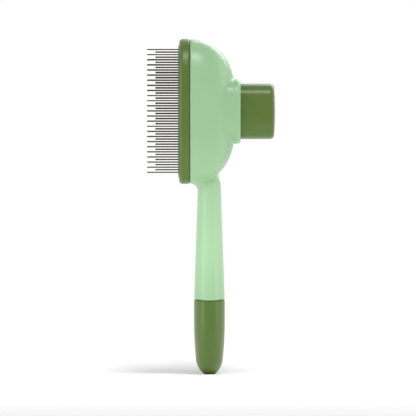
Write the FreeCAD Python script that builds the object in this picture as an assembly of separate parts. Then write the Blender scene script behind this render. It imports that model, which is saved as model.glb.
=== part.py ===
import FreeCAD, Part
import math
import os

# Slicker brush with a cleaning plate that slides along its pins.
# Millimetres. +Z runs up the handle, -X is the way the pins point, +X the way the button stands.
# The origin is on the ground, under the middle of the brush's overall depth.

V = FreeCAD.Vector
OVER = 1.0                  # how far a cutting tool runs past the face it cuts
CLOSE = 0.001               # closer than this counts as the same plane

# ---- head -----------------------------------------------------------------
HEAD_Z = 148.6              # height of the head's and the button's axis
HEAD_HALF_Z = 40.7          # half height of the domed back
HEAD_HALF_Y = 22.5          # half width of the domed back
HEAD_FRONT_X = -11.9        # open edge of the domed back
DOME_DEPTH = 25.7           # from the open edge to the crown
OUTLINE_POWER = 3.2         # squareness of the head's oval outline, 2 being an ellipse
SIDE_POWER = 2.1            # how early the dome's outline leaves the rim, seen from the side
CROWN_POWER = 3.1           # and how blunt it stays at the crown
TOP_POWER = 2.6             # squareness of the dome seen from above, with flat flanks
DOME_LEVELS = [0, 0.15, 0.3, 0.45, 0.58, 0.69, 0.78, 0.85, 0.9, 0.94, 0.97, 0.985]
CURVE_POINTS = 32           # points on a squarish oval
WALL = 2.2                  # wall of the body

# ---- rim ------------------------------------------------------------------
RIM_FRONT_X = -18.0
RIM_BACK_X = -12.2
RIM_HALF_Z = 41.0
RIM_HALF_Y = 22.6
RIM_OPEN_HALF_Z = 37.75     # opening that the cleaning plate slides in
RIM_OPEN_HALF_Y = 19.15
RIM_FLANGE_X = -13.2        # front of the thin flange behind the pin board
RIM_FLANGE_HALF_Z = 34.9
RIM_FLANGE_HALF_Y = 16.3
RIM_FRONT_ROUND = 2.0
RIM_BACK_ROUND = 0.9
RIM_INNER_ROUND = 0.3
SEAL_INSET = 0.3            # seal's edge below the body's surface
SEAL_WIDTH = 1.2

# ---- cleaning plate, pin board and retainer --------------------------------
PLATE_FRONT_X = -18.5
PLATE_BACK_X = -16.5
PLATE_HALF_Z = 37.45
PLATE_HALF_Y = 18.85
PLATE_ROUND = 0.6
BOARD_FRONT_X = -16.2
BOARD_HALF_Z = 37.7
BOARD_HALF_Y = 19.1
RETAINER_BACK_X = -10.2
RETAINER_HALF_Z = 38.3
RETAINER_HALF_Y = 20.0
FLANGE_GAP = 0.3            # retainer's raised pad inside the rim's flange

# ---- pins -----------------------------------------------------------------
ROW_PITCH = 2.893           # from one long row to the next
PIN_RISE = 0.3              # middle row above the head's axis
COLUMN_PITCH = 4.5          # long and short columns take turns
LONG_ROWS = 12              # rows above and below the middle row
FIELD_HALF_Z = 36.6         # pins fill this ellipse
FIELD_HALF_Y = 18.0
LONG_TIP_X = -36.2
SHORT_TIP_X = -31.5
LONG_RADIUS = 0.34
SHORT_RADIUS = 0.36
SHORT_TIP_RADIUS = 0.44
PIN_HEAD_RADIUS = 0.85
PIN_HEAD_LENGTH = 0.6
PLATE_HOLE_RADIUS = 0.70    # holes in the cleaning plate
PIN_CLEAR_OF_ROD = 3.4      # no pin stands nearer than this to a push rod

# ---- push rods, bushes and screws -------------------------------------------
ROD_Y = 6.75
ROD_Z = 8.61                # both measured from the head's axis
ROD_RADIUS = 1.6
BUSH_BORE_RADIUS = 1.65
BUSH_RADIUS = 2.4
BUSH_FLANGE_RADIUS = 3.0
BUSH_FLANGE = 0.8
PLATE_SCREW_RADIUS = 0.8
PLATE_SCREW_HEAD_RADIUS = 1.6
PLATE_SCREW_HEAD = 0.9
PLATE_SCREW_LENGTH = 8.0
BOARD_SCREW_Y = 12.2
BOARD_SCREW_Z = 32.2        # both measured from the head's axis
BOARD_SCREW_RADIUS = 0.9
BOARD_SCREW_HEAD_RADIUS = 1.6
BOARD_SCREW_HEAD = 1.0
BOARD_SCREW_LENGTH = 11.0
BOSS_RADIUS = 2.4
DRIVE_RADIUS = 0.45         # hexagonal recess in each screw head
DRIVE_DEPTH = 0.5
DRIVE_SIDES = 6

# ---- collar, liner and button -----------------------------------------------
COLLAR_HALF_Z = 17.85
COLLAR_HALF_Y = 18.4
COLLAR_POWER = 4.0          # squareness of the collar's outline
COLLAR_START_X = -3.0
COLLAR_END_X = 16.5
COLLAR_EDGE_ROUND = 1.6
COLLAR_BORE_HALF = 16.7
COLLAR_BORE_START_X = -9.0
LINER_START_X = 6.6
LINER_END_X = 16.0
LINER_BORE_HALF = 15.92
BUTTON_HALF = 15.6
BUTTON_POWER = 4.0          # squareness of the button, its hollow and its bore
BUTTON_FRONT_X = 3.8
BUTTON_END_X = 36.2
BUTTON_END_ROUND = 2.2
BUTTON_CROWN_RADIUS = 180.0
BUTTON_FLANGE_HALF = 16.3
BUTTON_FLANGE_END_X = 6.3
BUTTON_WALL = 2.0
BUTTON_END_WALL = 2.4
BUTTON_LEDGE_X = 15.0
BUTTON_LEDGE = 1.3
PLUNGER_FRONT_X = 12.0
PLUNGER_GAP = 0.05
BUTTON_SCREW_Y = 10.9
BUTTON_SCREW_RADIUS = 0.9
BUTTON_SCREW_HEAD_RADIUS = 1.8
BUTTON_SCREW_HEAD = 1.2
BUTTON_SCREW_LENGTH = 9.0
BUTTON_BOSS_RADIUS = 2.2

# ---- spring and stops ---------------------------------------------------------
SPRING_RADIUS = 7.3
SPRING_WIRE_RADIUS = 0.55
SPRING_TURNS = 6
SEAT_HEIGHT = 1.0
SEAT_INNER_RADIUS = 5.8
SEAT_OUTER_RADIUS = 7.8
STOP_OFFSET = 14.9
STOP_RADIUS = 1.2
STOP_HEIGHT = 0.4

# ---- handle -------------------------------------------------------------------
HANDLE_X = -0.9             # axis of handle and cap
HANDLE_BOTTOM_HALF_X = 8.7
HANDLE_BOTTOM_HALF_Y = 13.6
SHOULDER_Z = 103.5          # where the handle's sides start to round over towards the dome
SHOULDER_HALF_X = 6.55
SHOULDER_HALF_Y = 11.3
SHOULDER_HEIGHT = 11.0
SHOULDER_POWER = 2.4
SHOULDER_LEAN = 0.4         # how much more its front and back faces lean in
SHOULDER_LEAN_POWER = 1.5
SHOULDER_LEVELS = [0, 0.25, 0.5, 0.7, 0.84, 0.93, 0.98]
NECK_ROUND = 5.0
NECK_WEB_HALF_Y = 5.5
NECK_OVERLAP = 2.0          # how far the web runs into the handle and the dome
SEAM_RADIUS = 46.0          # the seam between handle and cap is bowed downwards
SEAM_LOW_Z = 41.7
SEAM_GAP = 0.6
SEAM_RING_INSET = 0.5
SEAM_MARGIN = 5.0           # how far tools for the seam run past its lowest line
SEAM_TOOL_HALF = 30.0       # half width of those tools
BORE_HALF_X = 4.3
BORE_HALF_Y = 9.4
BORE_TOP_Z = 99.0
TENON_HALF_X = 5.9
TENON_HALF_Y = 10.9
TENON_TOP_Z = 50.0
CORE_GAP = 0.1
CORE_RIB = 1.8
CORE_BOTTOM_Z = 8.0

# ---- grip cap -----------------------------------------------------------------
CAP_WIDEST_Z = 31.0
CAP_ROUND_POWER = 1.6       # shape of the rounding between foot and side
CAP_LEVELS = [0, 0.3, 1.2, 2.6, 4.4, 6.5, 8.6, 13.0, 18.0, 24.0, 31.0, 36.0, 41.0, 46.0]
CAP_LOW_Z = 8.6
CAP_LOW_HALF_X = 7.65
CAP_LOW_HALF_Y = 11.8
FOOT_HALF_X = 2.2
FOOT_HALF_Y = 4.0


def closed_curve(points):
    """Smooth closed curve through a ring of points."""
    curve = Part.BSplineCurve()
    curve.interpolate(points, PeriodicFlag=True)
    return Part.Wire([curve.toShape()])


def oval(x, half_z, half_y, power):
    """Upright squarish oval across the head's axis, as a smooth closed curve."""
    points = []
    for i in range(CURVE_POINTS):
        angle = 2 * math.pi * i / CURVE_POINTS
        along = math.copysign(abs(math.cos(angle)) ** (2 / power), math.cos(angle))
        across = math.copysign(abs(math.sin(angle)) ** (2 / power), math.sin(angle))
        points.append(V(x, half_y * across, HEAD_Z + half_z * along))
    return closed_curve(points)


def oval_block(x0, x1, half_z, half_y, power):
    """Straight block from x0 to x1 with a squarish oval outline."""
    face = Part.Face(oval(x0, half_z, half_y, power))
    return face.extrude(V(x1 - x0, 0, 0))


def head_plate(x0, x1, half_z, half_y):
    """Plate across the head with the head's own outline."""
    return oval_block(x0, x1, half_z, half_y, OUTLINE_POWER)


def button_block(x0, x1, half):
    """Block with the button's outline."""
    return oval_block(x0, x1, half, half, BUTTON_POWER)


def level_ellipse(z, half_x, half_y):
    """Flat-lying ellipse across the handle, its long axis from side to side."""
    centre = V(HANDLE_X, 0, z)
    curve = Part.Ellipse(V(HANDLE_X, half_y, z), V(HANDLE_X + half_x, 0, z), centre)
    return Part.Wire([curve.toShape()])


def level_oval(z, half_x, half_y):
    """Flat-lying ellipse that may be wider either way, with its start always on the handle's back."""
    points = []
    for i in range(CURVE_POINTS):
        angle = 2 * math.pi * i / CURVE_POINTS
        points.append(V(HANDLE_X + half_x * math.cos(angle), half_y * math.sin(angle), z))
    return closed_curve(points)


def level_plug(z0, z1, half_x, half_y):
    """Straight oval plug along the handle."""
    face = Part.Face(level_ellipse(z0, half_x, half_y))
    return face.extrude(V(0, 0, z1 - z0))


def rod_along_x(x0, x1, radius, y, z):
    """Round rod along X, its axis y and z off the head's axis."""
    return Part.makeCylinder(radius, x1 - x0, V(x0, y, HEAD_Z + z), V(1, 0, 0))


def edges_at_x(shape, x, reach):
    """Edges that lie in the plane at x and reach that far above and below the head's axis."""
    found = []
    for edge in shape.Edges:
        box = edge.BoundBox
        flat = abs(box.XMin - x) < CLOSE and abs(box.XMax - x) < CLOSE
        if flat and abs(box.ZMax - HEAD_Z - reach) < OVER:
            found.append(edge)
    return found


def dome(depth, half_z, half_y):
    """Squarish dome with flat flanks, from the head's open edge to just short of its crown."""
    sections = []
    for level in DOME_LEVELS:
        high = half_z * (1 - level ** SIDE_POWER) ** (1 / CROWN_POWER)
        wide = half_y * (1 - level ** TOP_POWER) ** (1 / TOP_POWER)
        sections.append(oval(HEAD_FRONT_X + depth * level, high, wide, OUTLINE_POWER))
    return Part.makeLoft(sections, True, False)


def pin_spots():
    """Spots of the long and of the short pins, measured from the head's axis."""
    long_spots = []
    short_spots = []
    columns = int(FIELD_HALF_Y / COLUMN_PITCH)
    for column in range(-columns, columns + 1):
        y = column * COLUMN_PITCH
        is_short = column % 2 == 1
        spots = short_spots if is_short else long_spots
        shift = ROW_PITCH / 2 if is_short else 0
        last = LONG_ROWS - 1 if is_short else LONG_ROWS
        for row in range(-LONG_ROWS, last + 1):
            z = PIN_RISE + row * ROW_PITCH + shift
            inside = (y / FIELD_HALF_Y) ** 2 + (z / FIELD_HALF_Z) ** 2 < 1
            clear = math.hypot(abs(y) - ROD_Y, abs(z) - ROD_Z) > PIN_CLEAR_OF_ROD
            if inside and clear:
                spots.append((y, z))
    return long_spots, short_spots


def rod_spots():
    """Spots of the four push rods."""
    return [(y, z) for y in (-ROD_Y, ROD_Y) for z in (-ROD_Z, ROD_Z)]


def board_screw_spots():
    """Spots of the four screws that hold board, rim and retainer to the body."""
    return [(y, z) for y in (-BOARD_SCREW_Y, BOARD_SCREW_Y) for z in (-BOARD_SCREW_Z, BOARD_SCREW_Z)]


def rods_at(spots, x0, x1, radius):
    """One round rod at each spot, as a compound for cutting or for a group."""
    return Part.makeCompound([rod_along_x(x0, x1, radius, y, z) for y, z in spots])


def pin(y, z, tip_x, radius, tip_radius):
    """Steel pin with a round tip and a flat head at its root."""
    head_front = RIM_FLANGE_X - PIN_HEAD_LENGTH
    shank = rod_along_x(tip_x + tip_radius, RIM_FLANGE_X, radius, y, z)
    tip = Part.makeSphere(tip_radius, V(tip_x + tip_radius, y, HEAD_Z + z))
    head = rod_along_x(head_front, RIM_FLANGE_X, PIN_HEAD_RADIUS, y, z)
    return shank.fuse([tip, head]).removeSplitter()


def long_pins():
    spots = pin_spots()[0]
    return Part.makeCompound([pin(y, z, LONG_TIP_X, LONG_RADIUS, LONG_RADIUS) for y, z in spots])


def short_pins():
    spots = pin_spots()[1]
    return Part.makeCompound([pin(y, z, SHORT_TIP_X, SHORT_RADIUS, SHORT_TIP_RADIUS) for y, z in spots])


def pin_board():
    """Oval board inside the rim that the pins are pressed into."""
    board = head_plate(BOARD_FRONT_X, RIM_FLANGE_X, BOARD_HALF_Z, BOARD_HALF_Y)
    long_spots, short_spots = pin_spots()
    all_spots = long_spots + short_spots
    head_front = RIM_FLANGE_X - PIN_HEAD_LENGTH
    screw_spots = board_screw_spots()
    heads_end = BOARD_FRONT_X + BOARD_SCREW_HEAD
    holes = [
        rods_at(long_spots, BOARD_FRONT_X - OVER, RIM_FLANGE_X, LONG_RADIUS),
        rods_at(short_spots, BOARD_FRONT_X - OVER, RIM_FLANGE_X, SHORT_RADIUS),
        rods_at(all_spots, head_front, RIM_FLANGE_X + OVER, PIN_HEAD_RADIUS),
        rods_at(rod_spots(), BOARD_FRONT_X - OVER, RIM_FLANGE_X + OVER, BUSH_RADIUS),
        rods_at(screw_spots, BOARD_FRONT_X - OVER, RIM_FLANGE_X + OVER, BOARD_SCREW_RADIUS),
        rods_at(screw_spots, BOARD_FRONT_X - OVER, heads_end, BOARD_SCREW_HEAD_RADIUS),
    ]
    for group in holes:
        board = board.cut(group)
    return board


def pin_retainer():
    """Plate behind the board; its raised pad closes over the pin heads inside the rim's flange."""
    base = head_plate(RIM_BACK_X, RETAINER_BACK_X, RETAINER_HALF_Z, RETAINER_HALF_Y)
    pad_z = RIM_FLANGE_HALF_Z - FLANGE_GAP
    pad_y = RIM_FLANGE_HALF_Y - FLANGE_GAP
    pad = head_plate(RIM_FLANGE_X, RIM_BACK_X, pad_z, pad_y)
    plate = base.fuse(pad)
    plate = plate.cut(rods_at(rod_spots(), RIM_FLANGE_X - OVER, RETAINER_BACK_X + OVER, BUSH_RADIUS))
    back = RETAINER_BACK_X + OVER
    return plate.cut(rods_at(board_screw_spots(), RIM_FLANGE_X - OVER, back, BOARD_SCREW_RADIUS))


def screw(head_x, y, z, radius, length, head_radius, head_length):
    """Screw driven towards +X, with a flat head at head_x and a hexagonal recess in it."""
    head = rod_along_x(head_x, head_x + head_length, head_radius, y, z)
    shank = rod_along_x(head_x, head_x + length, radius, y, z)
    corners = []
    reach = DRIVE_RADIUS / math.cos(math.pi / DRIVE_SIDES)
    for i in range(DRIVE_SIDES + 1):
        turn = 2 * math.pi * i / DRIVE_SIDES
        corners.append(V(head_x, y + reach * math.cos(turn), HEAD_Z + z + reach * math.sin(turn)))
    recess = Part.Face(Part.makePolygon(corners)).extrude(V(DRIVE_DEPTH, 0, 0))
    return head.fuse(shank).cut(recess).removeSplitter()


def board_screws():
    group = []
    for y, z in board_screw_spots():
        group.append(screw(BOARD_FRONT_X, y, z, BOARD_SCREW_RADIUS, BOARD_SCREW_LENGTH,
                           BOARD_SCREW_HEAD_RADIUS, BOARD_SCREW_HEAD))
    return Part.makeCompound(group)


def rim():
    """Rounded oval ring around the head's front, with a thin flange behind the pin board."""
    ring = head_plate(RIM_FRONT_X, RIM_BACK_X, RIM_HALF_Z, RIM_HALF_Y)
    ring = ring.makeFillet(RIM_FRONT_ROUND, edges_at_x(ring, RIM_FRONT_X, RIM_HALF_Z))
    ring = ring.makeFillet(RIM_BACK_ROUND, edges_at_x(ring, RIM_BACK_X, RIM_HALF_Z))
    front = RIM_FRONT_X - OVER
    back = RIM_BACK_X + OVER
    ring = ring.cut(head_plate(front, RIM_FLANGE_X, RIM_OPEN_HALF_Z, RIM_OPEN_HALF_Y))
    ring = ring.cut(head_plate(front, back, RIM_FLANGE_HALF_Z, RIM_FLANGE_HALF_Y))
    ring = ring.makeFillet(RIM_INNER_ROUND, edges_at_x(ring, RIM_FRONT_X, RIM_OPEN_HALF_Z))
    return ring.cut(rods_at(board_screw_spots(), front, back, BOARD_SCREW_RADIUS))


def rim_seal():
    """Thin oval seal between the rim and the open edge of the body."""
    outer = head_plate(RIM_BACK_X, HEAD_FRONT_X, HEAD_HALF_Z - SEAL_INSET, HEAD_HALF_Y - SEAL_INSET)
    inset = SEAL_INSET + SEAL_WIDTH
    front = RIM_BACK_X - OVER
    back = HEAD_FRONT_X + OVER
    return outer.cut(head_plate(front, back, HEAD_HALF_Z - inset, HEAD_HALF_Y - inset))


def cleaning_plate():
    """Oval plate with a hole for every pin, which slides along the pins."""
    plate = head_plate(PLATE_FRONT_X, PLATE_BACK_X, PLATE_HALF_Z, PLATE_HALF_Y)
    plate = plate.makeFillet(PLATE_ROUND, edges_at_x(plate, PLATE_FRONT_X, PLATE_HALF_Z))
    long_spots, short_spots = pin_spots()
    front = PLATE_FRONT_X - OVER
    back = PLATE_BACK_X + OVER
    plate = plate.cut(rods_at(long_spots + short_spots, front, back, PLATE_HOLE_RADIUS))
    plate = plate.cut(rods_at(rod_spots(), front, back, PLATE_SCREW_RADIUS))
    heads_end = PLATE_FRONT_X + PLATE_SCREW_HEAD
    return plate.cut(rods_at(rod_spots(), front, heads_end, PLATE_SCREW_HEAD_RADIUS))


def plate_screws():
    group = []
    for y, z in rod_spots():
        group.append(screw(PLATE_FRONT_X, y, z, PLATE_SCREW_RADIUS, PLATE_SCREW_LENGTH,
                           PLATE_SCREW_HEAD_RADIUS, PLATE_SCREW_HEAD))
    return Part.makeCompound(group)


def push_rods():
    """Four steel rods from the cleaning plate to the plunger plate, tapped at the front for the screws."""
    rods = rods_at(rod_spots(), PLATE_BACK_X, BUTTON_LEDGE_X, ROD_RADIUS)
    taps = rods_at(rod_spots(), PLATE_BACK_X - OVER, PLATE_FRONT_X + PLATE_SCREW_LENGTH, PLATE_SCREW_RADIUS)
    return rods.cut(taps)


def rod_bushes():
    """Flanged guide bushes pressed through the board and the retainer."""
    back = RETAINER_BACK_X + BUSH_FLANGE
    sleeves = []
    for y, z in rod_spots():
        sleeve = rod_along_x(BOARD_FRONT_X, back, BUSH_RADIUS, y, z)
        flange = rod_along_x(RETAINER_BACK_X, back, BUSH_FLANGE_RADIUS, y, z)
        bore = rod_along_x(BOARD_FRONT_X - OVER, back + OVER, BUSH_BORE_RADIUS, y, z)
        sleeves.append(sleeve.fuse(flange).cut(bore).removeSplitter())
    return Part.makeCompound(sleeves)


def plunger_plate():
    """Square plate inside the hollow button that carries the rods."""
    half = BUTTON_HALF - BUTTON_WALL - PLUNGER_GAP
    plate = button_block(PLUNGER_FRONT_X, BUTTON_LEDGE_X, half)
    front = PLUNGER_FRONT_X - OVER
    back = BUTTON_LEDGE_X + OVER
    plate = plate.cut(rods_at(rod_spots(), front, back, ROD_RADIUS))
    return plate.cut(rods_at(button_screw_spots(), front, back, BUTTON_SCREW_RADIUS))


def button_screw_spots():
    return [(-BUTTON_SCREW_Y, 0), (BUTTON_SCREW_Y, 0)]


def button_screws():
    group = []
    head_x = PLUNGER_FRONT_X - BUTTON_SCREW_HEAD
    for y, z in button_screw_spots():
        group.append(screw(head_x, y, z, BUTTON_SCREW_RADIUS, BUTTON_SCREW_LENGTH,
                           BUTTON_SCREW_HEAD_RADIUS, BUTTON_SCREW_HEAD))
    return Part.makeCompound(group)


def button():
    """Hollow square push-button, open at the front, with a flange that keeps it in the collar."""
    cap = button_block(BUTTON_FRONT_X, BUTTON_END_X, BUTTON_HALF)
    cap = cap.common(Part.makeSphere(BUTTON_CROWN_RADIUS, V(BUTTON_END_X - BUTTON_CROWN_RADIUS, 0, HEAD_Z)))
    end_edges = [e for e in cap.Edges if e.BoundBox.XMin > BUTTON_END_X - BUTTON_END_ROUND]
    cap = cap.makeFillet(BUTTON_END_ROUND, end_edges)
    cap = cap.fuse(button_block(BUTTON_FRONT_X, BUTTON_FLANGE_END_X, BUTTON_FLANGE_HALF))
    half = BUTTON_HALF - BUTTON_WALL
    cap = cap.cut(button_block(BUTTON_FRONT_X - OVER, BUTTON_LEDGE_X, half))
    hollow_end = BUTTON_END_X - BUTTON_END_WALL
    cap = cap.cut(button_block(BUTTON_LEDGE_X - OVER, hollow_end, half - BUTTON_LEDGE))
    bosses = rods_at(button_screw_spots(), BUTTON_LEDGE_X, hollow_end, BUTTON_BOSS_RADIUS)
    cap = cap.fuse(bosses.Solids).removeSplitter()
    screw_end = PLUNGER_FRONT_X - BUTTON_SCREW_HEAD + BUTTON_SCREW_LENGTH
    return cap.cut(rods_at(button_screw_spots(), BUTTON_LEDGE_X - OVER, screw_end, BUTTON_SCREW_RADIUS))


def collar_liner():
    """Thin square sleeve in the collar that the button slides in."""
    sleeve = button_block(LINER_START_X, LINER_END_X, COLLAR_BORE_HALF)
    return sleeve.cut(button_block(LINER_START_X - OVER, LINER_END_X + OVER, LINER_BORE_HALF))


def spring_seat():
    """Steel ring on the retainer with a raised inner lip that centres the spring."""
    top = RETAINER_BACK_X + SEAT_HEIGHT
    lip_radius = SPRING_RADIUS - 2 * SPRING_WIRE_RADIUS
    ring = rod_along_x(RETAINER_BACK_X, RETAINER_BACK_X + SEAT_HEIGHT / 2, SEAT_OUTER_RADIUS, 0, 0)
    lip = rod_along_x(RETAINER_BACK_X, top, lip_radius, 0, 0)
    bore = rod_along_x(RETAINER_BACK_X - OVER, top + OVER, SEAT_INNER_RADIUS, 0, 0)
    return ring.fuse(lip).cut(bore).removeSplitter()


def return_spring():
    """Coil spring between the seat and the plunger plate."""
    start = RETAINER_BACK_X + SEAT_HEIGHT / 2 + SPRING_WIRE_RADIUS
    end = PLUNGER_FRONT_X - SPRING_WIRE_RADIUS
    pitch = (end - start) / SPRING_TURNS
    path = Part.makeHelix(pitch, end - start, SPRING_RADIUS)
    wire = Part.Wire(Part.makeCircle(SPRING_WIRE_RADIUS, V(SPRING_RADIUS, 0, 0), V(0, 1, 0)))
    coil = Part.Wire(path.Edges).makePipeShell([wire], True, True)
    coil.rotate(V(0, 0, 0), V(0, 1, 0), 90)
    coil.translate(V(start, 0, HEAD_Z))
    return coil


def stop_pads():
    """Four rubber pads on the retainer that the button's flange meets at the end of its travel."""
    spots = [(STOP_OFFSET, 0), (-STOP_OFFSET, 0), (0, STOP_OFFSET), (0, -STOP_OFFSET)]
    return rods_at(spots, RETAINER_BACK_X, RETAINER_BACK_X + STOP_HEIGHT, STOP_RADIUS)


def handle_blank():
    """Tapered oval handle whose top rounds over into a shoulder under the dome."""
    bottom = level_oval(SEAM_LOW_Z - SEAM_MARGIN, HANDLE_BOTTOM_HALF_X, HANDLE_BOTTOM_HALF_Y)
    shoulder = []
    for level in SHOULDER_LEVELS:
        left = (1 - level ** SHOULDER_POWER) ** (1 / SHOULDER_POWER)
        z = SHOULDER_Z + SHOULDER_HEIGHT * level
        half_y = SHOULDER_HALF_Y * left * (1 - SHOULDER_LEAN * level ** SHOULDER_LEAN_POWER)
        shoulder.append(level_oval(z, SHOULDER_HALF_X * left, half_y))
    taper = Part.makeLoft([bottom, shoulder[0]], True, True)
    return taper.fuse(Part.makeLoft(shoulder, True, False))


def seam_tool(lift):
    """Everything below the bowed seam between handle and cap, lifted by lift."""
    axis_z = SEAM_LOW_Z + SEAM_RADIUS + lift
    width = 2 * SEAM_TOOL_HALF
    start = V(HANDLE_X, -SEAM_TOOL_HALF, axis_z)
    above = Part.makeCylinder(SEAM_RADIUS, width, start, V(0, 1, 0))
    corner = V(HANDLE_X - SEAM_TOOL_HALF, -SEAM_TOOL_HALF, -SEAM_MARGIN)
    below = Part.makeBox(width, width, SEAM_LOW_Z + lift + 2 * SEAM_MARGIN, corner)
    return below.cut(above)


def neck_web():
    """Rounded web in the corner between the handle's front and the dome's lower edge."""
    back = HANDLE_X - SHOULDER_HALF_X
    axis_z = HEAD_Z - HEAD_HALF_Z - NECK_ROUND
    width = 2 * NECK_WEB_HALF_Y
    corner = V(HEAD_FRONT_X, -NECK_WEB_HALF_Y, axis_z)
    web = Part.makeBox(back + NECK_OVERLAP - HEAD_FRONT_X, width, NECK_ROUND + NECK_OVERLAP, corner)
    axis = V(back - NECK_ROUND, -NECK_WEB_HALF_Y, axis_z)
    return web.cut(Part.makeCylinder(NECK_ROUND, width, axis, V(0, 1, 0)))


def body():
    """Domed head back, collar, neck and handle in one hollow moulding."""
    domed_back = dome(DOME_DEPTH, HEAD_HALF_Z, HEAD_HALF_Y)
    collar = oval_block(COLLAR_START_X, COLLAR_END_X, COLLAR_HALF_Z, COLLAR_HALF_Y, COLLAR_POWER)
    collar = collar.makeFillet(COLLAR_EDGE_ROUND, edges_at_x(collar, COLLAR_END_X, COLLAR_HALF_Z))
    outside = domed_back.fuse([collar, handle_blank(), neck_web()])
    inside = dome(DOME_DEPTH - WALL, HEAD_HALF_Z - WALL, HEAD_HALF_Y - WALL)
    shape = outside.cut(inside)
    bosses = rods_at(board_screw_spots(), RETAINER_BACK_X, HEAD_FRONT_X + DOME_DEPTH, BOSS_RADIUS)
    shape = shape.fuse([boss.common(domed_back) for boss in bosses.Solids])
    screw_end = BOARD_FRONT_X + BOARD_SCREW_LENGTH
    shape = shape.cut(rods_at(board_screw_spots(), RETAINER_BACK_X - OVER, screw_end, BOARD_SCREW_RADIUS))
    bore = button_block(COLLAR_BORE_START_X, COLLAR_END_X + OVER, COLLAR_BORE_HALF)
    shape = shape.cut(bore)
    shape = shape.cut(level_plug(SEAM_LOW_Z - SEAM_MARGIN, BORE_TOP_Z, BORE_HALF_X, BORE_HALF_Y))
    shape = shape.cut(level_plug(SEAM_LOW_Z - SEAM_MARGIN, TENON_TOP_Z, TENON_HALF_X, TENON_HALF_Y))
    return shape.cut(seam_tool(0))


def seam_ring():
    """Thin oval ring between handle and cap, a little inside their surface."""
    half_x = HANDLE_BOTTOM_HALF_X - SEAM_RING_INSET
    half_y = HANDLE_BOTTOM_HALF_Y - SEAM_RING_INSET
    plug = level_plug(SEAM_LOW_Z - SEAM_MARGIN, SEAM_LOW_Z + SEAM_MARGIN, half_x, half_y)
    ring = plug.common(seam_tool(0)).cut(seam_tool(-SEAM_GAP))
    return ring.cut(level_plug(0, TENON_TOP_Z, TENON_HALF_X, TENON_HALF_Y))


def cap_half(z, foot, low, widest):
    """Half size of the cap at height z: foot on the ground, low above the rounding, widest on top."""
    if z < CAP_LOW_Z:
        fall = (1 - z / CAP_LOW_Z) ** CAP_ROUND_POWER
        return foot + (low - foot) * (1 - fall) ** (1 / CAP_ROUND_POWER)
    below = max(0.0, (CAP_WIDEST_Z - z) / (CAP_WIDEST_Z - CAP_LOW_Z))
    return widest - (widest - low) * below ** 2


def grip_cap():
    """Barrel-shaped end cap on a small flat foot, with a tubular tenon that plugs into the handle."""
    sections = []
    for z in CAP_LEVELS:
        half_x = cap_half(z, FOOT_HALF_X, CAP_LOW_HALF_X, HANDLE_BOTTOM_HALF_X)
        half_y = cap_half(z, FOOT_HALF_Y, CAP_LOW_HALF_Y, HANDLE_BOTTOM_HALF_Y)
        sections.append(level_ellipse(z, half_x, half_y))
    cap = Part.makeLoft(sections, True, False).common(seam_tool(-SEAM_GAP))
    tenon = level_plug(CAP_WIDEST_Z, TENON_TOP_Z - CORE_GAP, TENON_HALF_X, TENON_HALF_Y)
    cap = cap.fuse(tenon)
    return cap.cut(level_plug(CORE_BOTTOM_Z, TENON_TOP_Z + OVER, BORE_HALF_X, BORE_HALF_Y))


def handle_core():
    """Cross-ribbed stiffening core that runs from the cap to the top of the handle's bore."""
    envelope = level_plug(CORE_BOTTOM_Z, BORE_TOP_Z - CORE_GAP, BORE_HALF_X, BORE_HALF_Y)
    length = BORE_TOP_Z - CORE_BOTTOM_Z
    half = CORE_RIB / 2
    wide = Part.makeBox(CORE_RIB, 2 * BORE_HALF_Y, length, V(HANDLE_X - half, -BORE_HALF_Y, CORE_BOTTOM_Z))
    deep = Part.makeBox(2 * BORE_HALF_X, CORE_RIB, length, V(HANDLE_X - BORE_HALF_X, -half, CORE_BOTTOM_Z))
    return envelope.common(wide.fuse(deep).removeSplitter())


os.makedirs("parts", exist_ok=True)
NODES = {
    "long_pins": long_pins,
    "short_pins": short_pins,
    "pin_board": pin_board,
    "pin_retainer": pin_retainer,
    "board_screws": board_screws,
    "rim": rim,
    "rim_seal": rim_seal,
    "cleaning_plate": cleaning_plate,
    "plate_screws": plate_screws,
    "push_rods": push_rods,
    "rod_bushes": rod_bushes,
    "plunger_plate": plunger_plate,
    "button_screws": button_screws,
    "button": button,
    "collar_liner": collar_liner,
    "spring_seat": spring_seat,
    "return_spring": return_spring,
    "stop_pads": stop_pads,
    "body": body,
    "seam_ring": seam_ring,
    "grip_cap": grip_cap,
    "handle_core": handle_core,
}
for name, make in NODES.items():
    shape = make()
    print(name, "solids", len(shape.Solids), "volume", round(shape.Volume, 1), "valid", shape.isValid())
    shape.exportStep("parts/" + name + ".step")
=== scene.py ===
import math

import bpy
import numpy as np
import openvdb
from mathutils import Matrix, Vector


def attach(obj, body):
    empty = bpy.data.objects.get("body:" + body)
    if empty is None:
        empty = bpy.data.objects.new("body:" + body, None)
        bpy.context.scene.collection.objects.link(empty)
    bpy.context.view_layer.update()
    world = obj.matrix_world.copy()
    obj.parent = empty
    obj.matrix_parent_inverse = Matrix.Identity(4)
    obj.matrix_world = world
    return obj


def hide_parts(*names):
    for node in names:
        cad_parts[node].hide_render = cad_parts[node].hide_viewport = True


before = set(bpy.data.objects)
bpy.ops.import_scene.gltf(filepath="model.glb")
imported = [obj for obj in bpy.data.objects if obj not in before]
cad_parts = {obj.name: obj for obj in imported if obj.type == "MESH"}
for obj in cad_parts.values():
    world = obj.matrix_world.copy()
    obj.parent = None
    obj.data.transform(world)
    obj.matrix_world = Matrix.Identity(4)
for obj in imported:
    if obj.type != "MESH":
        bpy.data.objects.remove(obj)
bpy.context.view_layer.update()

MM = 0.001
TINY = 1e-9                     # keeps a division clear of zero

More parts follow.
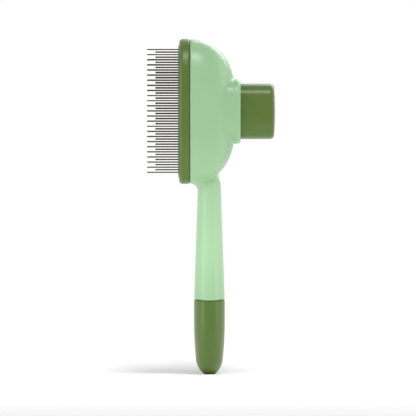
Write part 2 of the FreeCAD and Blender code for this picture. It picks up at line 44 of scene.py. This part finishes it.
# ---- sizes in millimetres: the CAD model's, with its corners rounded and a fuller shoulder ----
HEAD_Z = 148.6
HEAD_HALF_Z = 40.7
HEAD_HALF_Y = 22.5
HEAD_FRONT_X = -11.9
DOME_DEPTH = 25.7
OUTLINE_POWER = 3.2
SIDE_POWER = 2.1
CROWN_POWER = 3.1
TOP_POWER = 2.6
DOME_LAST = 0.985
WALL = 2.2
COLLAR_HALF_Z = 17.85
COLLAR_HALF_Y = 18.4
COLLAR_POWER = 4.0
COLLAR_START_X = 0.0
COLLAR_END_X = 16.5
COLLAR_EDGE_ROUND = 1.6
COLLAR_BORE_HALF = 16.7
COLLAR_BORE_START_X = -9.0
BUTTON_POWER = 4.0
HANDLE_X = -0.9
HANDLE_HALF_X = 8.7
HANDLE_HALF_Y = 13.6
SEAM_LOW_Z = 41.7
SEAM_RADIUS = 46.0
LOWEST_SHARE = -0.1             # of the way from the seam to the shoulder, where the taper ends
SHOULDER_Z = 103.5
SHOULDER_HEIGHT = 11.0
SHOULDER_HALF_X = 6.55
SHOULDER_HALF_Y = 11.3
SHOULDER_POWER = 2.4
SHOULDER_LEAN = 0.22            # how much the handle's front leans back over the shoulder
SHOULDER_LEAN_POWER = 1.5
SHOULDER_LEAN_LIMIT = 1.2       # in shoulder heights
NECK_ROUND_BACK = 2.2
NECK_ROUND_FRONT = 5.0
NECK_ROUND_START_X = -1
NECK_ROUND_LENGTH = 6           # over which the neck's rounding grows towards the front
COLLAR_FOOT_ROUND = 1.2
COLLAR_FOOT_LENGTH = 7          # over which the collar's rounding grows towards the back
MOUTH_ROUND = 0.3
FRONT_EDGE_ROUND = 0.35
SEAM_EDGE_ROUND = 0.45
BORE = (4.3, 9.4, 99.0)         # half sizes and top of the handle's bore
SOCKET = (5.9, 10.9, 50.0)      # and of the wider socket for the cap's tenon


# ---- smooth solids written as distance fields ----------------------------------
def round_union(a, b, r):
    """Union of two solids with a hollow rounding of radius r in the corner between them."""
    u = np.maximum(r - a, 0)
    v = np.maximum(r - b, 0)
    return np.maximum(r, np.minimum(a, b)) - np.sqrt(u * u + v * v)


def round_cut(a, b, r):
    """What lies in both solids, with edges rounded to radius r."""
    u = np.maximum(r + a, 0)
    v = np.maximum(r + b, 0)
    return np.minimum(-r, np.maximum(a, b)) + np.sqrt(u * u + v * v)


def oval_bar(p, q, half_p, half_q, power):
    """Distance-like field of a long bar with a squarish oval outline in p and q."""
    a = np.abs(p) / half_p
    b = np.abs(q) / half_q
    r = (a ** power + b ** power) ** (1 / power) + TINY
    slope = np.hypot((a / r) ** (power - 1) / half_p, (b / r) ** (power - 1) / half_q)
    return (r - 1) / slope


def smooth(value):
    """Smooth step from 0 to 1."""
    t = np.clip(value, 0, 1)
    return t * t * (3 - 2 * t)


def dome(x, y, z, depth, half_z, half_y):
    """Distance-like field of the squarish dome; past its crown the last section runs on as a bar."""
    u = np.clip((x - HEAD_FRONT_X) / depth, 0, DOME_LAST)
    side = 1 - u ** SIDE_POWER
    top = 1 - u ** TOP_POWER
    high = half_z * side ** (1 / CROWN_POWER)
    wide = half_y * top ** (1 / TOP_POWER)
    a = np.abs(y) / wide
    b = np.abs(z - HEAD_Z) / high
    r = (a ** OUTLINE_POWER + b ** OUTLINE_POWER) ** (1 / OUTLINE_POWER) + TINY
    ga = (a / r) ** (OUTLINE_POWER - 1)
    gb = (b / r) ** (OUTLINE_POWER - 1)
    narrowing = ga * a * u ** (TOP_POWER - 1) / top
    lowering = gb * b * SIDE_POWER / CROWN_POWER * u ** (SIDE_POWER - 1) / side
    slope = np.sqrt(((narrowing + lowering) / depth) ** 2 + (ga / wide) ** 2 + (gb / high) ** 2)
    return (r - 1) / slope


def handle(x, y, z):
    """Tapered oval handle whose top rounds over into a shoulder."""
    share = np.clip((z - SEAM_LOW_Z) / (SHOULDER_Z - SEAM_LOW_Z), LOWEST_SHARE, 1)
    half_x = HANDLE_HALF_X + (SHOULDER_HALF_X - HANDLE_HALF_X) * share
    w = np.maximum((z - SHOULDER_Z) / SHOULDER_HEIGHT, 0)
    lean = 1 - SHOULDER_LEAN * np.minimum(w, SHOULDER_LEAN_LIMIT) ** SHOULDER_LEAN_POWER
    half_y = (HANDLE_HALF_Y + (SHOULDER_HALF_Y - HANDLE_HALF_Y) * share) * lean
    u = (x - HANDLE_X) / half_x
    v = y / half_y
    ring = np.sqrt(u * u + v * v) + TINY
    r = (ring ** SHOULDER_POWER + w ** SHOULDER_POWER) ** (1 / SHOULDER_POWER)
    around = (ring / r) ** (SHOULDER_POWER - 1) * np.hypot(u / half_x, v / half_y) / ring
    upward = (w / r) ** (SHOULDER_POWER - 1) / SHOULDER_HEIGHT
    return (r - 1) / np.hypot(around, upward)


def body_field(x, y, z):
    """The pale moulding: dome, collar, neck and handle, hollow inside."""
    head = dome(x, y, z, DOME_DEPTH, HEAD_HALF_Z, HEAD_HALF_Y)
    grip = handle(x, y, z)
    forward = smooth((NECK_ROUND_START_X - x) / NECK_ROUND_LENGTH)
    neck_round = NECK_ROUND_BACK + (NECK_ROUND_FRONT - NECK_ROUND_BACK) * forward
    solid = round_union(head, grip, neck_round)
    across = z - HEAD_Z
    collar = oval_bar(y, across, COLLAR_HALF_Y, COLLAR_HALF_Z, COLLAR_POWER)
    collar = round_cut(collar, x - COLLAR_END_X, COLLAR_EDGE_ROUND)
    collar = np.maximum(collar, COLLAR_START_X - x)
    foot_round = MOUTH_ROUND + (COLLAR_FOOT_ROUND - MOUTH_ROUND) * smooth(x / COLLAR_FOOT_LENGTH)
    solid = round_union(solid, collar, foot_round)
    solid = round_cut(solid, HEAD_FRONT_X - x, FRONT_EDGE_ROUND)
    hollow = dome(x, y, z, DOME_DEPTH - WALL, HEAD_HALF_Z - WALL, HEAD_HALF_Y - WALL)
    bore = oval_bar(y, across, COLLAR_BORE_HALF, COLLAR_BORE_HALF, BUTTON_POWER)
    bore = np.maximum(bore, COLLAR_BORE_START_X - x)
    solid = np.maximum(solid, -hollow)
    solid = round_cut(solid, -bore, MOUTH_ROUND)
    for half_x, half_y, top in (BORE, SOCKET):
        well = np.maximum(oval_bar(x - HANDLE_X, y, half_x, half_y, 2), z - top)
        solid = np.maximum(solid, -well)
    seam = np.hypot(x - HANDLE_X, np.minimum(z - SEAM_LOW_Z - SEAM_RADIUS, 0)) - SEAM_RADIUS
    return round_cut(solid, seam, SEAM_EDGE_ROUND)


FIELD_LOW = (-14, -25, 38)      # the box that holds the pale moulding
FIELD_HIGH = (19, 25, 192)
FIELD_CELL = 0.5
BAND_CELLS = 4
SLOPE_STEP = 0.02
MOVES = 4                       # times that the mesh points are moved onto the surface
LEAST_SLOPE = 0.2
LONGEST_MOVE = 0.4              # in cells


def mesh_from_field(name, field, low, high, cell):
    """Closed quad mesh of the surface where field is zero, its points moved onto that surface."""
    counts = [int(math.ceil((b - a) / cell)) + 1 for a, b in zip(low, high)]
    xs, ys, zs = [a + cell * np.arange(n) for a, n in zip(low, counts)]
    values = field(xs[:, None, None], ys[None, :, None], zs[None, None, :]).astype(np.float32)
    values = np.ascontiguousarray(np.broadcast_to(values, counts))
    band = BAND_CELLS * cell
    grid = openvdb.FloatGrid(band)
    grid.copyFromArray(np.clip(values, -band, band))
    points, quads = grid.convertToQuads(isovalue=0.0)
    points = np.array(points, float) * cell + np.array(low)
    step = SLOPE_STEP
    for _ in range(MOVES):
        x, y, z = points.T
        value = field(x, y, z)
        slope = np.stack([
            field(x + step, y, z) - field(x - step, y, z),
            field(x, y + step, z) - field(x, y - step, z),
            field(x, y, z + step) - field(x, y, z - step),
        ]) / (2 * step)
        size = np.maximum((slope ** 2).sum(0), LEAST_SLOPE)
        move = np.clip(value / size, -LONGEST_MOVE * cell, LONGEST_MOVE * cell) * slope
        points = points - move.T
    mesh = bpy.data.meshes.new(name)
    mesh.from_pydata((points * MM).tolist(), [], np.array(quads).tolist())
    mesh.polygons.foreach_set("use_smooth", [True] * len(mesh.polygons))
    mesh.validate()
    obj = bpy.data.objects.new(name, mesh)
    bpy.context.scene.collection.objects.link(obj)
    return obj


# ---- materials ------------------------------------------------------------------
NOISE_LOW = 0.3
NOISE_HIGH = 0.7
DRIFT_SCALE = 35                # noise scales, per metre
GRAIN_SCALE = 900
SKIN_SCALE = 2600
STREAK_SCALE = 1400
SKIN_DEPTH = 0.0001


def new_material(name):
    """New node material, with its node tree and its Principled shader."""
    material = bpy.data.materials.new(name)
    material.use_nodes = True
    tree = material.node_tree
    shader = tree.nodes["Principled BSDF"]
    return material, tree, shader


def add_node(tree, kind, **values):
    """New node; values set its sockets by name, or its own settings."""
    node = tree.nodes.new(kind)
    for key, value in values.items():
        if key in node.inputs:
            node.inputs[key].default_value = value
        else:
            setattr(node, key, value)
    return node


def noise(tree, scale, detail, stretch=(1, 1, 1)):
    """Noise over the object's own coordinates in metres; returns its Fac output."""
    place = add_node(tree, "ShaderNodeTexCoord")
    mapping = add_node(tree, "ShaderNodeMapping", Scale=stretch)
    texture = add_node(tree, "ShaderNodeTexNoise", Scale=scale, Detail=detail)
    tree.links.new(place.outputs["Object"], mapping.inputs["Vector"])
    tree.links.new(mapping.outputs["Vector"], texture.inputs["Vector"])
    return texture.outputs["Fac"]


def spread(tree, value, low, high):
    """Map the usual range of a noise value onto low to high."""
    node = add_node(tree, "ShaderNodeMapRange")
    node.inputs["From Min"].default_value = NOISE_LOW
    node.inputs["From Max"].default_value = NOISE_HIGH
    node.inputs["To Min"].default_value = low
    node.inputs["To Max"].default_value = high
    tree.links.new(value, node.inputs["Value"])
    return node.outputs["Result"]


def moulded(name, dark, light, rough, grain=0.02, bump=0.03):
    """Moulded plastic: slow colour drift, fine grain in roughness and a very fine moulded skin."""
    material, tree, shader = new_material(name)
    drift = noise(tree, DRIFT_SCALE, 3)
    mix = add_node(tree, "ShaderNodeMix", data_type="RGBA")
    mix.inputs["A"].default_value = (*dark, 1)
    mix.inputs["B"].default_value = (*light, 1)
    tree.links.new(spread(tree, drift, 0, 1), mix.inputs["Factor"])
    tree.links.new(mix.outputs["Result"], shader.inputs["Base Color"])
    fine = noise(tree, GRAIN_SCALE, 5)
    tree.links.new(spread(tree, fine, rough - grain, rough + grain), shader.inputs["Roughness"])
    skin = noise(tree, SKIN_SCALE, 2)
    relief = add_node(tree, "ShaderNodeBump", Strength=bump, Distance=SKIN_DEPTH)
    tree.links.new(skin, relief.inputs["Height"])
    tree.links.new(relief.outputs["Normal"], shader.inputs["Normal"])
    return material


def metal(name, dark, light, rough, stretch, grain=0.06):
    """Drawn or turned metal with fine streaks along the stretch."""
    material, tree, shader = new_material(name)
    streak = noise(tree, STREAK_SCALE, 4, stretch)
    mix = add_node(tree, "ShaderNodeMix", data_type="RGBA")
    mix.inputs["A"].default_value = (*dark, 1)
    mix.inputs["B"].default_value = (*light, 1)
    tree.links.new(spread(tree, streak, 0, 1), mix.inputs["Factor"])
    tree.links.new(mix.outputs["Result"], shader.inputs["Base Color"])
    tree.links.new(spread(tree, streak, rough - grain, rough + grain), shader.inputs["Roughness"])
    shader.inputs["Metallic"].default_value = 1.0
    return material


def linear(r, g, b):
    """sRGB 0 to 255 as linear values."""
    out = []
    for channel in (r, g, b):
        c = channel / 255
        out.append(c / 12.92 if c <= 0.04045 else ((c + 0.055) / 1.055) ** 2.4)
    return tuple(out)


pale_green = moulded("pale_green", linear(157, 197, 152), linear(160, 200, 155), 0.31)
olive = moulded("olive_green", linear(84, 112, 38), linear(88, 116, 42), 0.31)
plate_grey = moulded("plate_grey", linear(96, 96, 88), linear(104, 104, 96), 0.5)
dark_plastic = moulded("dark_plastic", linear(60, 64, 58), linear(68, 72, 64), 0.5)
white_plastic = moulded("white_plastic", linear(214, 214, 208), linear(224, 224, 218), 0.45)
rubber = moulded("rubber", linear(36, 42, 32), linear(44, 50, 38), 0.7)
olive_seal = moulded("olive_seal", linear(66, 92, 38), linear(72, 98, 42), 0.6)
pin_steel = metal("pin_steel", linear(60, 56, 52), linear(78, 74, 68), 0.34, (0.08, 1, 1))
bright_steel = metal("bright_steel", linear(168, 168, 166), linear(196, 196, 194), 0.28, (0.1, 1, 1))
screw_steel = metal("screw_steel", linear(150, 150, 150), linear(176, 176, 176), 0.32, (1, 1, 1))
brass = metal("brass", linear(190, 158, 92), linear(206, 176, 110), 0.3, (1, 1, 1))

FINISH = {
    "rim": olive, "button": olive, "grip_cap": olive, "body": pale_green,
    "cleaning_plate": plate_grey, "pin_board": dark_plastic, "collar_liner": dark_plastic,
    "long_pins": pin_steel, "short_pins": pin_steel, "push_rods": bright_steel,
    "return_spring": bright_steel, "plate_screws": screw_steel, "board_screws": screw_steel,
    "button_screws": screw_steel, "spring_seat": screw_steel, "rod_bushes": brass,
    "pin_retainer": white_plastic, "plunger_plate": white_plastic, "handle_core": white_plastic,
    "rim_seal": olive_seal, "seam_ring": olive_seal, "stop_pads": rubber,
}


def dress(obj, material):
    """Give obj this one material."""
    obj.data.materials.clear()
    obj.data.materials.append(material)


for node_name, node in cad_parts.items():
    dress(node, FINISH[node_name])

# ---- the pale body ----------------------------------------------------------------
shell = mesh_from_field("body_shell", body_field, FIELD_LOW, FIELD_HIGH, FIELD_CELL)
dress(shell, pale_green)
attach(shell, "brush")
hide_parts("body")

# ---- floor, light and camera ---------------------------------------------------------
FLOOR_HALF = 6.0                # metres, as is all of the studio
FLOOR_FRONT_Y = -6.0
FLOOR_FLAT_Y = 0.006            # behind this line the floor curves up
FLOOR_CURVE_RADIUS = 0.35
FLOOR_CURVE_HEIGHT = 0.012
FLOOR_CURVE_STEPS = 48
WORLD_FRONT = 0.43
WORLD_BEHIND = 0.86
WORLD_FRONT_Y = -0.5            # where the world's light starts and ends its rise, as a direction
WORLD_BEHIND_Y = 0.7
FLOOR_SUN_W = 2.4               # lights the floor only, and so draws the shadow
FLOOR_SUN_ANGLE = 18
FLOOR_SUN_WAY = (-0.13, 0.25, -1.0)
GRIP_POWER_W = 7.5
GRIP_SPOT_ANGLE = 5.5
GRIP_SPOT_BLEND = 0.7
GRIP_SPOT_RADIUS = 0.03
GRIP_SPOT_SIDE = 0.45
GRIP_SPOT_Y = -0.8
GRIP_SPOT_Z = 0.078
GRIP_MIDDLE = Vector((0, 0, 0.072))
MIDDLE = (0, 0, 0.11)           # what the soft boxes are aimed at
LIGHTS = [                      # name, place, width and height, watts
    ("top", (0.06, -0.62, 0.84), (0.28, 0.28), 2.3),
    ("top_behind", (0.35, 0.62, 0.6), (0.7, 0.4), 2.3),
    ("left", (-0.8, -0.25, 0.2), (0.35, 0.7), 2.1),
    ("right", (0.8, -0.1, 0.3), (0.35, 0.7), 1.2),
]


def sheet_mesh(name, points, faces):
    """New mesh object from its points and faces."""
    mesh = bpy.data.meshes.new(name)
    mesh.from_pydata(points, [], faces)
    obj = bpy.data.objects.new(name, mesh)
    bpy.context.scene.collection.objects.link(obj)
    return obj


def sweep_mesh(name, half, front, flat, radius, height):
    """Studio floor: flat in front, curving up behind."""
    profile = [(front, 0.0), (flat, 0.0)]
    for i in range(1, FLOOR_CURVE_STEPS + 1):
        rise = height * (i / FLOOR_CURVE_STEPS) ** 2
        profile.append((flat + math.sqrt(2 * radius * rise), rise))
    points = [(side, y, z) for y, z in profile for side in (-half, half)]
    faces = [(2 * i, 2 * i + 1, 2 * i + 3, 2 * i + 2) for i in range(len(profile) - 1)]
    sheet = sheet_mesh(name, points, faces)
    sheet.data.polygons.foreach_set("use_smooth", [True] * len(faces))
    return sheet


floor = sweep_mesh(
    "floor", FLOOR_HALF, FLOOR_FRONT_Y, FLOOR_FLAT_Y, FLOOR_CURVE_RADIUS, FLOOR_CURVE_HEIGHT
)
floor_paint = moulded("floor_paint", (0.62, 0.62, 0.62), (0.64, 0.64, 0.64), 0.95, bump=0.0)
dress(floor, floor_paint)


def studio_world(front, behind):
    """White to the camera; as light, dimmer from the front than from behind the object."""
    world = bpy.data.worlds.new("studio")
    world.use_nodes = True
    tree = world.node_tree
    tree.nodes.clear()
    place = tree.nodes.new("ShaderNodeTexCoord")
    parts = tree.nodes.new("ShaderNodeSeparateXYZ")
    ramp = tree.nodes.new("ShaderNodeMapRange")
    ramp.interpolation_type = "SMOOTHSTEP"
    ramp.inputs["From Min"].default_value = WORLD_FRONT_Y
    ramp.inputs["From Max"].default_value = WORLD_BEHIND_Y
    ramp.inputs["To Min"].default_value = front
    ramp.inputs["To Max"].default_value = behind
    seen = add_node(tree, "ShaderNodeBackground", Color=(1, 1, 1, 1), Strength=1.0)
    around = add_node(tree, "ShaderNodeBackground", Color=(1, 1, 1, 1))
    path = tree.nodes.new("ShaderNodeLightPath")
    choose = tree.nodes.new("ShaderNodeMixShader")
    result = tree.nodes.new("ShaderNodeOutputWorld")
    tree.links.new(place.outputs["Generated"], parts.inputs[0])
    tree.links.new(parts.outputs["Y"], ramp.inputs["Value"])
    tree.links.new(ramp.outputs["Result"], around.inputs["Strength"])
    tree.links.new(path.outputs["Is Camera Ray"], choose.inputs[0])
    tree.links.new(around.outputs[0], choose.inputs[1])
    tree.links.new(seen.outputs[0], choose.inputs[2])
    tree.links.new(choose.outputs[0], result.inputs["Surface"])
    bpy.context.scene.world = world


studio_world(WORLD_FRONT, WORLD_BEHIND)


def area_light(name, place, target, size, power):
    """Soft box of the given width and height, aimed at target."""
    data = bpy.data.lights.new(name, "AREA")
    data.shape = "RECTANGLE"
    data.size, data.size_y = size
    data.energy = power
    light = bpy.data.objects.new(name, data)
    light.location = place
    light.rotation_euler = (Vector(target) - Vector(place)).to_track_quat("-Z", "Y").to_euler()
    bpy.context.scene.collection.objects.link(light)


for light_name, place, size, power in LIGHTS:
    area_light(light_name, place, MIDDLE, size, power)

for side in (-1, 1):
    grip_data = bpy.data.lights.new("grip", "SPOT")
    grip_data.energy = GRIP_POWER_W
    grip_data.spot_size = math.radians(GRIP_SPOT_ANGLE)
    grip_data.spot_blend = GRIP_SPOT_BLEND
    grip_data.shadow_soft_size = GRIP_SPOT_RADIUS
    grip_light = bpy.data.objects.new("grip", grip_data)
    grip_light.location = (side * GRIP_SPOT_SIDE, GRIP_SPOT_Y, GRIP_SPOT_Z)
    aim = GRIP_MIDDLE - grip_light.location
    grip_light.rotation_euler = aim.to_track_quat("-Z", "Y").to_euler()
    grip_light.visible_glossy = False
    bpy.context.scene.collection.objects.link(grip_light)

sun_data = bpy.data.lights.new("floor_sun", "SUN")
sun_data.energy = FLOOR_SUN_W
sun_data.angle = math.radians(FLOOR_SUN_ANGLE)
sun = bpy.data.objects.new("floor_sun", sun_data)
sun.rotation_euler = Vector(FLOOR_SUN_WAY).to_track_quat("-Z", "Y").to_euler()
bpy.context.scene.collection.objects.link(sun)
floor_only = bpy.data.collections.new("floor_only")
floor_only.objects.link(floor)
sun.light_linking.receiver_collection = floor_only

AZIMUTH = math.radians(-0.4)
DISTANCE = 6.0
AIM = Vector((-1.7, 0, 94.0)) * MM
FIELD = 235.25 * MM             # width seen at the object
SENSOR = 36.0
camera_data = bpy.data.cameras.new("camera")
camera_data.sensor_width = SENSOR
camera_data.lens = SENSOR * DISTANCE / FIELD
camera_data.clip_end = 50
camera = bpy.data.objects.new("camera", camera_data)
back = Vector((math.sin(AZIMUTH), -math.cos(AZIMUTH), 0))
camera.location = AIM + back * DISTANCE
camera.rotation_euler = (-back).to_track_quat("-Z", "Y").to_euler()
bpy.context.scene.collection.objects.link(camera)
bpy.context.scene.camera = camera
bpy.context.scene.view_settings.view_transform = "Standard"
